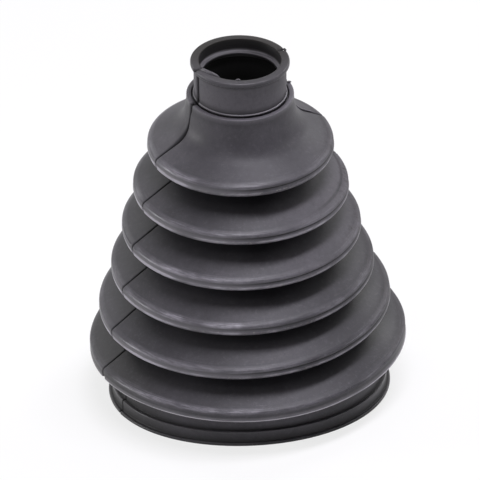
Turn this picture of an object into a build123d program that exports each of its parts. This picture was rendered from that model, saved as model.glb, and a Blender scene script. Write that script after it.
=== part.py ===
from build123d import *
from math import radians, tan
import os

os.makedirs("parts", exist_ok=True)

# Rubber bellows boot for the outer joint of a drive shaft, moulded in one piece.
# It stands on its large end: Z is the boot's axis, and Z = 0 is the open edge that meets the joint's
# housing. The boot is round, so it is drawn as one half section, with X as the radius and Y as the
# height, and revolved once. Millimetres and degrees.

# ---- driving dimensions --------------------------------------------------------------------------
wall = 2.0  # skin of the bell and of the folds

# Large end, which is clamped round the joint's housing
large_bore_radius = 39.3
cuff_wall = 3.2
large_seat_length = 12.7  # the large clamp sits here, from the shoulder to the lowest fold
cuff_step = 3.2  # how far below the top of that seat the thick cuff gives way to the skin
shoulder_stand = 1.2  # the shoulder holds the clamp from below
shoulder_height = 4.5
lip_stand = 2.3  # the lip at the open edge, out from the clamp's seat
lip_height = 0.9

# Folds
fold_count = 6
fold_pitch = 13.5
lowest_crest_stand = 7.4  # the lowest crest, out from the large clamp's seat
highest_crest_stand = 12.2  # the highest crest, out from the collar
crest_band = 4.2  # outside face of a crest, corner to corner
flank_slope = 28.0  # top of a fold, from level
underside_slope = 6.0  # bottom of a fold, which drops towards the axis
crest_top_round = 2.8
crest_bottom_round = 1.8
parting_edge_round = 0.45  # the lowest crest ends on the mould's parting edge and stays crisp
root_round = 1.6
bead_radius = 0.8  # bead along the lower half of each crest
bead_stand = 0.2  # how far it stands out of the crest
bead_drop = 0.5  # how far its middle is below the crest's

# Bell between the collar and the highest fold
bell_length = 18.75  # from the middle of the highest crest to the top of the collar
bell_slope = 80.0
bell_round = 9.0

# Small end, which is clamped round the shaft
small_bore_radius = 12.3
neck_wall = 1.8
small_seat_length = 10.1  # the small clamp sits here, from the collar to the rim
rim_stand = 1.0
rim_height = 1.5
collar_wall = 1.45
collar_height = 1.8
groove_width = 0.85  # between the neck and the collar
groove_depth = 1.5
groove_floor = 2.0  # rubber under the groove
neck_step_stand = 0.3  # a low step round the neck, just above the collar
neck_step_height = 0.4

# Sealing ribs inside both ends
rib_stand = 0.9  # how far a rib reaches into the bore
rib_land = 1.0  # the part of a rib that touches the shaft or the housing
rib_foot = 2.4
small_rib_depths = (5.0, 9.2)  # from the top of the rim
large_rib_heights = (5.0, 10.0)  # from the open edge

# Edges
rim_round = 0.6
seat_round = 1.2
edge_break = 0.3

# ---- radii, built out from the two bores -----------------------------------------------------------
large_seat_radius = large_bore_radius + cuff_wall
shoulder_radius = large_seat_radius + shoulder_stand
lip_radius = large_seat_radius + lip_stand
largest_crest_radius = large_seat_radius + lowest_crest_stand

small_seat_radius = small_bore_radius + neck_wall
neck_step_radius = small_seat_radius + neck_step_stand
rim_radius = small_seat_radius + rim_stand
groove_radius = small_seat_radius + groove_width
collar_radius = groove_radius + collar_wall
smallest_crest_radius = collar_radius + highest_crest_stand

# ---- heights, built up from the open edge ----------------------------------------------------------
flank_rise = tan(radians(flank_slope))
underside_rise = tan(radians(underside_slope))
bell_rise = tan(radians(bell_slope))

seat_top = shoulder_height + large_seat_length
large_bore_length = seat_top - cuff_step
lowest_crest = seat_top + underside_rise * lowest_crest_stand + crest_band / 2
highest_crest = lowest_crest + fold_pitch * (fold_count - 1)
collar_top = highest_crest + bell_length
collar_foot = collar_top - collar_height
neck_foot = collar_top - groove_depth
neck_bottom = neck_foot - groove_floor
rim_foot = collar_top + small_seat_length
overall_height = rim_foot + rim_height

# ---- corners of the outside of the skin, from the collar down to the shoulder ----------------------
crest_step = (largest_crest_radius - smallest_crest_radius) / (fold_count - 1)


def crest(fold):
    """The radius and middle height of a crest. Fold 0 is the lowest and the largest."""
    return largest_crest_radius - crest_step * fold, lowest_crest + fold_pitch * fold


def crest_corners(fold):
    """The upper and the lower corner of a crest, as they are before rounding."""
    radius, middle = crest(fold)
    return (radius, middle + crest_band / 2), (radius, middle - crest_band / 2)


def root_corner(fold):
    """Where the underside of a fold would meet the flank of the next fold down."""
    _, (under_radius, under_height) = crest_corners(fold)
    (flank_radius, flank_height), _ = crest_corners(fold - 1)
    gap = under_height - flank_height + underside_rise * (flank_radius - under_radius)
    reach = gap / (flank_rise + underside_rise)
    return flank_radius - reach, flank_height + flank_rise * reach


# The bell's corner is where a steep line down from the collar's foot meets the highest flank.
(top_radius, top_height), _ = crest_corners(fold_count - 1)
bell_fall = collar_foot - top_height - flank_rise * (top_radius - collar_radius)
bell_reach = bell_fall / (bell_rise - flank_rise)
bell_corner = (collar_radius + bell_reach, collar_foot - bell_rise * bell_reach)

skin_corners = [(collar_radius, collar_foot), bell_corner]
outer_rounds = [bell_round]
inner_rounds = [bell_round + wall]
for fold in reversed(range(fold_count)):
    bottom_round = crest_bottom_round if fold else parting_edge_round
    skin_corners += crest_corners(fold)
    outer_rounds += [crest_top_round, bottom_round]
    inner_rounds += [max(crest_top_round - wall, 0), max(bottom_round - wall, 0)]
    if fold:
        skin_corners.append(root_corner(fold))
        outer_rounds.append(root_round)
        inner_rounds.append(root_round + wall)
skin_corners += [(large_seat_radius, seat_top), (large_seat_radius, shoulder_height)]
outer_rounds.append(seat_round)
inner_rounds.append(seat_round + wall)


def one_wall_in(corners):
    """The corners of the same outline, moved in so that every side of it is one wall from where it was."""
    points = [Vector(*corner) for corner in corners]
    inward = [(b - a).normalized().rotate(Axis.Z, -90) for a, b in zip(points, points[1:])]
    sides = zip(points, [inward[0]] + inward, inward + [inward[-1]])
    return [point + (above + below) * (wall / (1 + above.dot(below))) for point, above, below in sides]


# ---- the boot ------------------------------------------------------------------------------------
def ring(inner, outer, low, high):
    """The section of a plain ring, from one radius to another and from one height to another."""
    with Locations((inner, low)):
        Rectangle(outer - inner, high - low, align=(Align.MIN, Align.MIN))


def sealing_rib(bore_radius, height):
    """The section of a rib that stands into a bore and has a narrow land."""
    with Locations((bore_radius, height)):
        Polygon(
            (0, -rib_foot / 2),
            (0, rib_foot / 2),
            (-rib_stand, rib_land / 2),
            (-rib_stand, -rib_land / 2),
            align=None,
        )


def corner(radius, height):
    """The corner of the section that is nearest to a radius and a height."""
    return section.vertices().sort_by_distance((radius, height))[0]


with BuildPart() as bellows_boot:
    with BuildSketch(Plane.XZ) as section:
        # The skin of the bell and the folds is one wall thick all the way down.
        with BuildLine():
            outside = FilletPolyline(*skin_corners, radius=outer_rounds)
            inside = FilletPolyline(*one_wall_in(skin_corners), radius=inner_rounds)
            Line(outside @ 0, inside @ 0)
            Line(outside @ 1, inside @ 1)
        make_face()

        # A bead runs along the lower half of each crest but the lowest, which ends on a crisp edge.
        for fold in range(1, fold_count):
            radius, middle = crest(fold)
            with Locations((radius + bead_stand - bead_radius, middle - bead_drop)):
                Circle(bead_radius)

        # Large end: a thick cuff, with a shoulder under the clamp and a lip at the open edge.
        ring(large_bore_radius, large_seat_radius, 0, large_bore_length)
        ring(large_bore_radius, shoulder_radius, 0, shoulder_height)
        ring(large_bore_radius, lip_radius, 0, lip_height)

        # Small end: a neck with a rim, which stands inside the collar with a groove round its foot. A low
        # step on the neck shows where the clamp's seat begins.
        ring(small_bore_radius, small_seat_radius, neck_bottom, overall_height)
        ring(small_bore_radius, rim_radius, rim_foot, overall_height)
        ring(small_bore_radius, collar_radius, neck_bottom, neck_foot)
        ring(groove_radius, collar_radius, neck_foot, collar_top)
        ring(small_bore_radius, neck_step_radius, collar_top, collar_top + neck_step_height)

        for depth in small_rib_depths:
            sealing_rib(small_bore_radius, overall_height - depth)
        for height in large_rib_heights:
            sealing_rib(large_bore_radius, height)

        # Edges: the rim is well rounded above and filleted below, and the rest are only broken.
        fillet(corner(rim_radius, overall_height), radius=rim_round)
        fillet(corner(small_seat_radius, rim_foot), radius=rim_round)
        broken = [
            corner(small_bore_radius, overall_height),
            corner(groove_radius, collar_top),
            corner(collar_radius, collar_top),
            corner(shoulder_radius, shoulder_height),
            corner(large_bore_radius, large_bore_length),
        ]
        chamfer(broken, length=edge_break)
    revolve(axis=Axis.Z)

bellows_boot.part.label = "bellows_boot"
export_step(bellows_boot.part, "parts/bellows_boot.step")
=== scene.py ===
# %% [markdown]
# # A rubber bellows boot
# This lesson builds the outer boot of a drive shaft: a one-piece rubber moulding that looks like
# a stack of six cones, wide at the end that is clamped round the joint and narrow at the end that
# is clamped round the shaft. The packed CAD part gives its true size, straight and round. The
# real rubber never is quite straight or round: it stands a little askew, its open end is pressed
# slightly oval, and the mould leaves a parting line down each side. Blender adds that, and the
# finish.

# %% Load the packed part
from math import cos, pi, radians, sin, tan

import bpy
import numpy as np
from mathutils import Matrix, Vector


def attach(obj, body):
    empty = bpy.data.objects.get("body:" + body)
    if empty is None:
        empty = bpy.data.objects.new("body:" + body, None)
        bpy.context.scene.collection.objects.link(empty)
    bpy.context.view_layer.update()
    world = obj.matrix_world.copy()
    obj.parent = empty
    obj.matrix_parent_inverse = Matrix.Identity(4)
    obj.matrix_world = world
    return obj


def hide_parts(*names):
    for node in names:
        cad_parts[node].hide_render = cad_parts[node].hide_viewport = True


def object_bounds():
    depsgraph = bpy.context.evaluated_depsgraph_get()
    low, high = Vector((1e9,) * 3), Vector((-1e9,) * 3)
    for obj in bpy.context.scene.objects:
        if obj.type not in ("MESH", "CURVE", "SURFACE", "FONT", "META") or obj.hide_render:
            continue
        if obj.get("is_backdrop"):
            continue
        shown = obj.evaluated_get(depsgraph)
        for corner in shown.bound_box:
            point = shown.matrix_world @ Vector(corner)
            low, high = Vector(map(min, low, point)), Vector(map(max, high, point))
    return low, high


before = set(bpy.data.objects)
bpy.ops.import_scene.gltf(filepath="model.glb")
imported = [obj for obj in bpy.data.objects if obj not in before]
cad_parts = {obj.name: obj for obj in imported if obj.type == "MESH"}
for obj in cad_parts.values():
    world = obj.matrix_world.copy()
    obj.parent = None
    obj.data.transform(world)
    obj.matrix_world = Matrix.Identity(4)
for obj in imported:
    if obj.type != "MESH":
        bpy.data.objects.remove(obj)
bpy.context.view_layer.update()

MM = 0.001

# %% [markdown]
# ## The camera
# In a studio the camera stands well back from a small product and has a long lens, so that the
# product's circles stay nearly true ellipses. The camera's axes are worked out from two angles,
# how far it is raised and how far it is rolled, and it is aimed near the middle of the boot.

# %% Camera
CAMERA_RAISED = radians(27.63)
CAMERA_ROLLED = radians(2.78)
CAMERA_DISTANCE = 1300 * MM
SENSOR_WIDTH, LENS = 36, 311.85  # mm
WATCHED_POINT = Vector((0, 0, 45)) * MM
WATCHED_PIXEL = (243.9, 257.4)  # where that point lands in a frame of 480 by 480
HALF_FRAME = 240  # pixels
PIXELS_PER_METRE = 3198

forward = Vector((0, cos(CAMERA_RAISED), -sin(CAMERA_RAISED)))
level_right = Vector((1, 0, 0))
level_up = level_right.cross(forward)
camera_right = level_right * cos(CAMERA_ROLLED) - level_up * sin(CAMERA_ROLLED)
camera_up = level_right * sin(CAMERA_ROLLED) + level_up * cos(CAMERA_ROLLED)

bpy.context.scene.view_settings.view_transform = "Standard"
camera = bpy.data.objects.new("Camera", bpy.data.cameras.new("Camera"))
camera.data.sensor_width = SENSOR_WIDTH
camera.data.lens = LENS
camera.location = WATCHED_POINT - forward * CAMERA_DISTANCE
aim = WATCHED_POINT - camera_right * (WATCHED_PIXEL[0] - HALF_FRAME) / PIXELS_PER_METRE
aim += camera_up * (WATCHED_PIXEL[1] - HALF_FRAME) / PIXELS_PER_METRE
looking = (aim - camera.location).normalized()
sideways = looking.cross(camera_up).normalized()
camera.rotation_mode = "QUATERNION"
axes = Matrix((sideways, sideways.cross(looking), -looking)).transposed()
camera.rotation_quaternion = axes.to_quaternion()
bpy.context.scene.collection.objects.link(camera)
bpy.context.scene.camera = camera
print("Camera at, mm:", [round(place / MM) for place in camera.location])

# %% [markdown]
# ## Lamps
# Black rubber is lit by what surrounds it. A long box almost overhead draws the bright band along
# each fold; it is only a hand wide from front to back, so the shade under the fold above has a
# fairly sharp edge. Panels behind and beside the boot open up the ends of the grooves and draw
# the thin light line on the edges there. The front gets only a weak lamp. Each is given by the
# way it lies from the boot.

# %% Soft boxes
LAMP_DISTANCE = 1100 * MM
LAMPS_AIM_AT = Vector((0, 0, 50)) * MM
WHITE = (1, 1, 1)
COOL_WHITE = (0.995, 0.966, 1.065)


def soft_box(name, azimuth, raised, size, watts, colour=WHITE, aside=0.0):
    """A rectangular lamp that faces the boot. Angles in degrees, an azimuth of -90 is the front."""
    round_it, up = radians(azimuth), radians(raised)
    way = Vector((cos(up) * cos(round_it), cos(up) * sin(round_it), sin(up)))
    lamp = bpy.data.lights.new(name, "AREA")
    lamp.shape = "RECTANGLE"
    lamp.size, lamp.size_y = size
    lamp.energy = watts
    lamp.color = colour
    box = bpy.data.objects.new(name, lamp)
    box.location = LAMPS_AIM_AT + way * LAMP_DISTANCE + Vector((aside, 0, 0))
    box.rotation_euler = (LAMPS_AIM_AT - box.location).to_track_quat("-Z", "Y").to_euler()
    box.visible_camera = False
    bpy.context.scene.collection.objects.link(box)
    print(name, "at, mm:", [round(place / MM) for place in box.location])


# name, azimuth, degrees up, metres wide and deep, watts
soft_box("overhead_box", -90, 78, (0.8, 0.17), 11.0, COOL_WHITE, aside=0.19)
soft_box("front_left_box", -112, 46, (0.25, 0.2), 0.8)
soft_box("rear_box", 90, 66, (1.1, 0.15), 2.5)
soft_box("right_back_panel", 45, 30, (0.3, 0.3), 1.8)
soft_box("left_back_panel", 135, 30, (0.3, 0.3), 1.0)
soft_box("right_panel", 0, 30, (0.3, 0.3), 1.2)
soft_box("left_panel", 180, 12, (0.3, 0.3), 4.6)

# %% [markdown]
# ## Node trees made in the script
# Every effect in this lesson is a tree of nodes. Trees can be drawn by hand in the node editor,
# but one that is written down can be read, repeated and given other sizes. A few short helpers
# make that pleasant: a `Wire` is one output in a tree, and it can be added or multiplied like a
# number.

# %% Wires
class Wire:
    """An output of a node. Sums with it make the Math nodes that work them out."""

    def __init__(self, tree, socket):
        self.tree, self.socket = tree, socket

    def maths(self, operation, *others):
        """What a Math node makes of this wire and others."""
        node = self.tree.nodes.new("ShaderNodeMath")
        node.operation = operation
        for socket, value in zip(node.inputs, (self, *others)):
            feed(self.tree, socket, value)
        return Wire(self.tree, node.outputs[0])

    def __add__(self, other):
        return self.maths("ADD", other)

    def __sub__(self, other):
        return self.maths("SUBTRACT", other)

    def __mul__(self, other):
        return self.maths("MULTIPLY", other)

    def __truediv__(self, other):
        return self.maths("DIVIDE", other)

    def split(self):
        """The three parts of a vector."""
        node = add(self.tree, "ShaderNodeSeparateXYZ", {"Vector": self})
        return [Wire(self.tree, socket) for socket in node.outputs]

    def between(self, low, high, to_low=0.0, to_high=1.0):
        """Goes smoothly from one value to another while this one goes from low to high."""
        inputs = {"Value": self, "From Min": low, "From Max": high}
        inputs.update({"To Min": to_low, "To Max": to_high})
        return wire(self.tree, "ShaderNodeMapRange", inputs, interpolation_type="SMOOTHSTEP")

    def within(self, start, full, fading, end):
        """Rises to one over a first stretch and falls to nought again over a second one."""
        return self.between(start, full) * self.between(fading, end, 1, 0)


print("A wire can be worked on by:", ", ".join(name for name in vars(Wire) if name[0] != "_"))

# %% Adding nodes
def feed(tree, socket, value):
    """Links a wire to an input, or sets the input to a plain value."""
    if isinstance(value, Wire):
        tree.links.new(value.socket, socket)
    else:
        socket.default_value = value


def add(tree, kind, inputs=None, **settings):
    """Puts a node in a tree. Its inputs go by name or by number."""
    node = tree.nodes.new(kind)
    for name, value in settings.items():
        setattr(node, name, value)
    for name, value in (inputs or {}).items():
        feed(tree, node.inputs[name], value)
    return node


def wire(tree, kind, inputs=None, output=0, **settings):
    """Puts a node in a tree and gives one of its outputs as a wire."""
    return Wire(tree, add(tree, kind, inputs, **settings).outputs[output])


def give_out(result, name, **values):
    """Links what a tree puts out, and prints how large the tree has grown."""
    tree = result.id_data
    for label, value in values.items():
        feed(tree, result.inputs[label], value)
    print(name, "has", len(tree.nodes), "nodes")


print("Helpers:", ", ".join(helper.__name__ for helper in (feed, add, wire, give_out)))

# %% [markdown]
# ## White surroundings
# A studio has a white sweep of paper behind the product. Lit for real, it would throw its light
# back into the grooves of the boot. So the backdrop here is white to the camera and in
# reflections, but sends out no light of its own. The floor does the same, except that it keeps
# some of its own shading, so that the shadow of the boot still shows.

# %% Backdrop and floor
PAPER = (0.92, 0.92, 0.92, 1)
FLOOR_GLOW = 0.77  # the share of the floor that is plain white
FLOOR_HALF = 6.0  # metres from the boot to the edge of the floor


def new_material(name):
    """An empty material, with its tree and its output node."""
    material = bpy.data.materials.new(name)
    material.use_nodes = True
    material.node_tree.nodes.clear()
    return material, material.node_tree, material.node_tree.nodes.new("ShaderNodeOutputMaterial")


def white_share(tree, most):
    """How much of plain white a ray sees: all of it for the camera, glossy and clear rays."""
    path = add(tree, "ShaderNodeLightPath")
    rays = ("Is Camera Ray", "Is Glossy Ray", "Is Transmission Ray")
    camera_ray, glossy, clear = (Wire(tree, path.outputs[ray]) for ray in rays)
    return camera_ray.maths("MAXIMUM", glossy).maths("MAXIMUM", clear) * most


world = bpy.data.worlds.new("Studio")
bpy.context.scene.world = world
world.use_nodes = True
sky = world.node_tree
sky.nodes.clear()
backdrop = wire(sky, "ShaderNodeBackground", {"Strength": white_share(sky, 1.0)})
give_out(add(sky, "ShaderNodeOutputWorld"), "Backdrop", Surface=backdrop)

white, white_tree, out = new_material("white_floor")
paper = wire(white_tree, "ShaderNodeBsdfDiffuse", {"Color": PAPER})
glow = wire(white_tree, "ShaderNodeEmission")
share = white_share(white_tree, FLOOR_GLOW)
mixed = wire(white_tree, "ShaderNodeMixShader", {0: share, 1: paper, 2: glow})
give_out(out, "White floor", Surface=mixed)

half = FLOOR_HALF
corners = [(-half, -half, 0), (half, -half, 0), (half, half, 0), (-half, half, 0)]
floor_mesh = bpy.data.meshes.new("floor")
floor_mesh.from_pydata(corners, [], [(0, 1, 2, 3)])
floor_mesh.materials.append(white)
floor = bpy.data.objects.new("floor", floor_mesh)
bpy.context.scene.collection.objects.link(floor)
floor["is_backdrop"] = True

# %% [markdown]
# ## The section of the boot
# A boot is a solid of revolution, so everything starts from half of its section: one closed
# outline with the radius along X and the height along Z, in millimetres. The sizes are those of
# the CAD part, apart from a few that settle or look crisper on the rubber itself. The six crests
# are set one by one, because soft folds settle a little unevenly.

# %% Sizes of the boot, mm
WALL = 2.0
CREST_RADII = (49.8, 45.6, 40.9, 37.0, 33.2, 28.55)  # from the lowest
CREST_HEIGHTS = (19.5, 33.0, 46.3, 60.1, 74.1, 88.6)
CREST_BELOW, CREST_ABOVE = 2.1, 1.75  # the lower and the upper edge of a crest, from its height
FLANK_SLOPE, UNDERSIDE_SLOPE, BELL_SLOPE = radians(29), radians(6), radians(80)

LARGE_BORE, LARGE_SEAT, SHOULDER, LIP = 39.3, 42.5, 43.7, 44.8
LIP_TOP, SHOULDER_TOP, CUFF_TOP = 0.9, 4.5, 14.0
SEAT_TOP = CREST_HEIGHTS[0] - CREST_BELOW - tan(UNDERSIDE_SLOPE) * (CREST_RADII[0] - LARGE_SEAT)
SMALL_BORE, NECK, RIM, GROOVE, COLLAR = 12.5, 14.1, 15.1, 14.9, 16.4
COLLAR_FOOT, GROOVE_FLOOR, COLLAR_TOP, RIM_FOOT, TOP = 104.6, 105.3, 106.4, 116.5, 118.0
NECK_BOTTOM = GROOVE_FLOOR - 2.4
STEP, STEP_TOP = NECK + 0.3, 106.9  # a small step runs round the neck just above the collar
RIB_STAND, WORN_RIB_STAND, RIB_LAND, RIB_FOOT = 0.9, 0.3, 1.0, 2.4
SMALL_RIBS = ((TOP - 5.0, RIB_STAND), (TOP - 9.2, WORN_RIB_STAND))
LARGE_RIBS = (10.0, 5.0)

CREST_TOP_ROUND, CREST_BOTTOM_ROUND, PARTING_EDGE_ROUND = 1.2, 1.8, 0.35
SEAT_ROUND, ROOT_ROUND, BELL_ROUND, COLLAR_ROUND = 1.2, 1.6, 9.0, 4.0
print("The large clamp's seat is", round(SEAT_TOP - SHOULDER_TOP, 1), "mm long")

# %% [markdown]
# ## The folded skin
# The skin of a real boot is one wall thick all the way. It could be drawn twice, outside and
# inside, but then a change to one fold would have to be made twice. Here the corners of the
# outside are worked out from the crests and the slopes, each with a rounding, and the inside is
# the same outline moved in by one wall.

# %% Corners of the folded skin
def meet(a, slope_a, b, slope_b):
    """Where two lines meet. Each is given by a point and its rise per millimetre outwards."""
    radius = (b[1] - a[1] + slope_a * a[0] - slope_b * b[0]) / (slope_a - slope_b)
    return radius, a[1] + slope_a * (radius - a[0])


folds = list(zip(CREST_RADII, CREST_HEIGHTS))
skin = []  # each corner with its rounding outside and inside, from the large end up
skin.append(((LARGE_SEAT, SHOULDER_TOP), 0, 0))
skin.append(((LARGE_SEAT, SEAT_TOP), SEAT_ROUND, SEAT_ROUND + WALL))
for number, (radius, height) in enumerate(folds):
    low, high = (radius, height - CREST_BELOW), (radius, height + CREST_ABOVE)
    skin.append((low, CREST_BOTTOM_ROUND if number else PARTING_EDGE_ROUND, 0))
    skin.append((high, CREST_TOP_ROUND, 0))
    if number < len(folds) - 1:
        next_radius, next_height = folds[number + 1]
        next_low = (next_radius, next_height - CREST_BELOW)
        root = meet(high, -tan(FLANK_SLOPE), next_low, tan(UNDERSIDE_SLOPE))
        skin.append((root, ROOT_ROUND, ROOT_ROUND + WALL))
bell = meet(high, -tan(FLANK_SLOPE), (COLLAR, COLLAR_FOOT), -tan(BELL_SLOPE))
skin.append((bell, BELL_ROUND, BELL_ROUND + WALL))
skin.append(((COLLAR, COLLAR_FOOT), 0, 0))
print("Corners of the skin:", len(skin))

# %% [markdown]
# A corner is rounded by swapping it for points on an arc that touches both sides. The outline is
# moved in by sliding each side along its own normal, and each corner to where its two sides meet
# again.

# %% Rounding and moving an outline
def rounded(corners, arc_step=radians(1.5), longest=0.1):
    """Closely spaced points along an outline whose corners are given as (corner, radius)."""
    points = []
    for number, (corner, radius) in enumerate(corners):
        here = Vector(corner)
        if radius == 0 or number in (0, len(corners) - 1):
            points.append(here)
            continue
        back = (Vector(corners[number - 1][0]) - here).normalized()
        ahead = (Vector(corners[number + 1][0]) - here).normalized()
        opening = back.angle(ahead)
        turn = pi - opening
        centre = here + (back + ahead).normalized() * radius / sin(opening / 2)
        start = here + back * radius / tan(opening / 2) - centre
        way = 1 if back.x * ahead.y - back.y * ahead.x < 0 else -1
        steps = max(2, round(turn / arc_step))
        for step in range(steps + 1):
            points.append(centre + Matrix.Rotation(way * turn * step / steps, 2) @ start)
    filled = [points[0]]
    for start, end in zip(points, points[1:]):
        parts = max(1, round((end - start).length / longest))
        filled += [start.lerp(end, part / parts) for part in range(1, parts + 1)]
    return filled


def moved_in(corners, distance):
    """The corners of an outline after every side of it has moved to its left by a distance."""
    points = [Vector(corner) for corner in corners]
    sides = [(b - a).normalized() for a, b in zip(points, points[1:])]
    left = [Vector((-side.y, side.x)) for side in sides]
    pairs = zip(points, [left[0]] + left, left + [left[-1]])
    return [point + (a + b) * distance / (1 + a.dot(b)) for point, a, b in pairs]


inner_corners = moved_in([corner for corner, _, _ in skin], WALL)
inner_skin = [(corner, inner) for corner, (_, _, inner) in zip(inner_corners, skin)]
print("The bell's inner corner is at radius", round(inner_skin[-2][0].x, 1), "mm")

# %% [markdown]
# The whole outline runs up the outside and down the inside. The lip and the shoulder hold the
# large clamp, the collar and the rim hold the small one, and the ribs in both bores are what
# seals.

# %% The closed outline
def rib(bore, height, stand):
    """A sealing rib in a bore, met on the way down."""
    foot, land, tip = RIB_FOOT / 2, RIB_LAND / 2, bore - stand
    high = [((bore, height + foot), 0.3), ((tip, height + land), 0.2)]
    return high + [((tip, height - land), 0.2), ((bore, height - foot), 0.3)]


outer_part = [  # each corner with its rounding, up the outside
    ((LARGE_BORE, 0), 0),
    ((LIP, 0), 0.2),
    ((LIP, LIP_TOP), 0.4),
    ((SHOULDER, LIP_TOP), 0.3),
    ((SHOULDER, SHOULDER_TOP), 0.35),
    ((LARGE_SEAT, SHOULDER_TOP), 0.2),
    *((corner, outer) for corner, outer, _ in skin[1:-1]),
    ((COLLAR, COLLAR_FOOT), COLLAR_ROUND),
    ((COLLAR, COLLAR_TOP), 0.3),
    ((GROOVE, COLLAR_TOP), 0.25),
    ((GROOVE, GROOVE_FLOOR), 0.2),
    ((NECK, GROOVE_FLOOR), 0.2),
    ((NECK, STEP_TOP - 0.4), 0.1),
    ((STEP, STEP_TOP - 0.3), 0.12),
    ((STEP, STEP_TOP), 0.15),
    ((NECK, STEP_TOP + 0.15), 0.15),
    ((NECK, RIM_FOOT), 0.35),
    ((RIM, RIM_FOOT), 0.45),
    ((RIM, TOP), 0.6),
    ((SMALL_BORE, TOP), 0.15),
]
inner_part = []  # and down the inside
for height, stand in SMALL_RIBS:
    inner_part += rib(SMALL_BORE, height, stand)
inner_part += [((SMALL_BORE, NECK_BOTTOM), 0.3), ((COLLAR - WALL + 0.3, NECK_BOTTOM), 0.3)]
inner_part += list(reversed(inner_skin))[1:-1]
inner_part += [((LARGE_SEAT - WALL, CUFF_TOP), 0.4), ((LARGE_BORE, CUFF_TOP), 0.4)]
for height in LARGE_RIBS:
    inner_part += rib(LARGE_BORE, height, RIB_STAND)
fine = rounded(outer_part + inner_part + [((LARGE_BORE, 0), 0)])[:-1]
print("Closely spaced points on the outline:", len(fine))

# %% [markdown]
# ## Marks on the section
# Each crest carries two marks of its mould: a fine crease just above its middle and a low bead
# below it. They aren't drawn into the outline. Every point is given a share of each, and the
# lathe presses them in later, so that the crease can be deep on one side of the boot and fade on
# the other.

# %% Crease and bead
CREASE_ABOVE, CREASE_HALF, CREASE_DEPTH = 0.85, 0.38, 0.16
BEAD_BELOW, BEAD_HALF, BEAD_STAND = 0.4, 0.8, 0.16
RIDGE_ABOVE, RIDGE_HALF = 0.25, 0.35  # the lowest crest has only a fine ridge on its lower edge
CREST_REACH = 2.5  # how far in from its crest a mark may lie


def hump(distance, half_width):
    """One at the middle, falling smoothly to nothing at half a width away."""
    return np.where(abs(distance) < half_width, (1 + np.cos(pi * distance / half_width)) / 2, 0.0)


def band(height, half_width):
    """A band round the outside at a height, as a share for each point of the outline."""
    return is_outside * hump(heights - height, half_width)


line = np.array(fine)
radii, heights = line.T
is_outside = np.arange(len(line)) < len(rounded(outer_part))
crease, bead = np.zeros(len(line)), np.zeros(len(line))
for number, (radius, height) in enumerate(folds):
    on_crest = radii > radius - CREST_REACH
    if number:
        crease += on_crest * band(height + CREASE_ABOVE, CREASE_HALF)
        bead += on_crest * band(height - BEAD_BELOW, BEAD_HALF)
    else:
        bead += on_crest * band(height - CREST_BELOW + RIDGE_ABOVE, RIDGE_HALF)
print("Points in a crease:", int((crease > 0).sum()), "and on a bead:", int((bead > 0).sum()))

# %% [markdown]
# Wear is drawn to edges that bulge, and painted shade to corners that are hollow. Blender can
# find both from a finished mesh, but the section knows them better: how fast the outline turns at
# each point says which it is. How far a point lies below the crests beside it says how deep it is
# in a groove, where shade is painted too.

# %% Where the outline bulges and where it is hollow
REACH = 0.4  # mm looked at on either side of a point
BULGING, HOLLOW = (0.25, 0.75), (0.06, 0.5)  # radians in a millimetre
DEEP = (2.0, 11.0)  # mm below the crests


def step_up(values, low, high):
    """Nought below low, one above high, and smooth between them."""
    share = np.clip((values - low) / (high - low), 0, 1)
    return share * share * (3 - 2 * share)


def headings(line):
    """The length of each side of a closed outline, and the way that it runs, without jumps."""
    along = np.roll(line, -1, 0) - line
    return np.linalg.norm(along, axis=1), np.unwrap(np.arctan2(along[:, 1], along[:, 0]))


lengths, heading = headings(line)
run_here = np.cumsum(lengths) - lengths
middles = run_here + lengths / 2
laps = [(middles + lap * lengths.sum(), heading + lap * 2 * pi) for lap in (-1, 0, 1)]
run_at, heading_at = (np.concatenate(parts) for parts in zip(*laps))
ahead, behind = (np.interp(run_here + way * REACH, run_at, heading_at) for way in (1, -1))
turning = (ahead - behind) / (2 * REACH)
worn = step_up(turning, *BULGING)
# Hollow corners get painted shade.
hollow_shade = step_up(-turning, *HOLLOW)
envelope = np.interp(heights, CREST_HEIGHTS, CREST_RADII, left=0, right=0)
# The deeper a point lies in a groove, the more painted shade it gets.
deep_shade = is_outside * step_up(envelope - radii, *DEEP)
print("Points that bulge:", int((worn > 0).sum()), "and lie deep:", int((deep_shade > 0).sum()))

# %% [markdown]
# Handling leaves its own marks, and highlights are painted on with them. Each fold has a pale
# line near its outer edge, partly rubbed and partly a painted highlight, and its lower edge is
# pale, on the far left mostly as a painted highlight. Its upright face is marked for painted
# light at the front left. The edges of the collar, the shoulder, the lip and the rim get a fine
# painted highlight.

# %% Lines and bands that are rubbed, and painted highlights
CREST_LINE_STRENGTH = (0.9, 0.4, 1.7, 1.2, 0.6, 0.7)  # how strong the pale line on each crest is, partly wear and partly painted highlight
FLANK_FROM, SHOULDER_FROM, SHOULDER_TO = 1.3, 0.9, 5  # mm above a crest
LINE_IN, LINE_HALF, SHOULDER_HALF = 0.55, 0.85, 4.0  # mm in from a crest, and half widths
FACE_ABOVE, FACE_HALF, FACE_REACH = 0.1, 2.6, 0.9
LOW_EDGE_BELOW, LOW_EDGE_HALF, LOW_EDGE_REACH = 0.75, 1.0, 1.6
LOWEST_LINE_UP, LOWEST_LINE_HALF, LOWEST_LINE_REACH = 0.3, 0.5, 0.7  # on the lowest crest
STEP_HIGHLIGHT, STEP_LINE_HALF = 0.25, 0.5
RIB_HIGHLIGHT, RIB_LINE_UP, RIB_LINE_HALF = 0.3, 0.8, 1.3
HIGHLIGHT_EDGES = (  # radius, height, half width and strength of the painted highlight
    (COLLAR - 0.2, COLLAR_TOP - 0.1, 0.3, 0.12),
    (SHOULDER - 0.3, SHOULDER_TOP - 0.1, 0.5, 0.2),
    (LIP - 0.3, LIP_TOP, 0.5, 0.2),
    (RIM - 0.2, TOP - 0.2, 0.6, 0.1),
)

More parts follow.
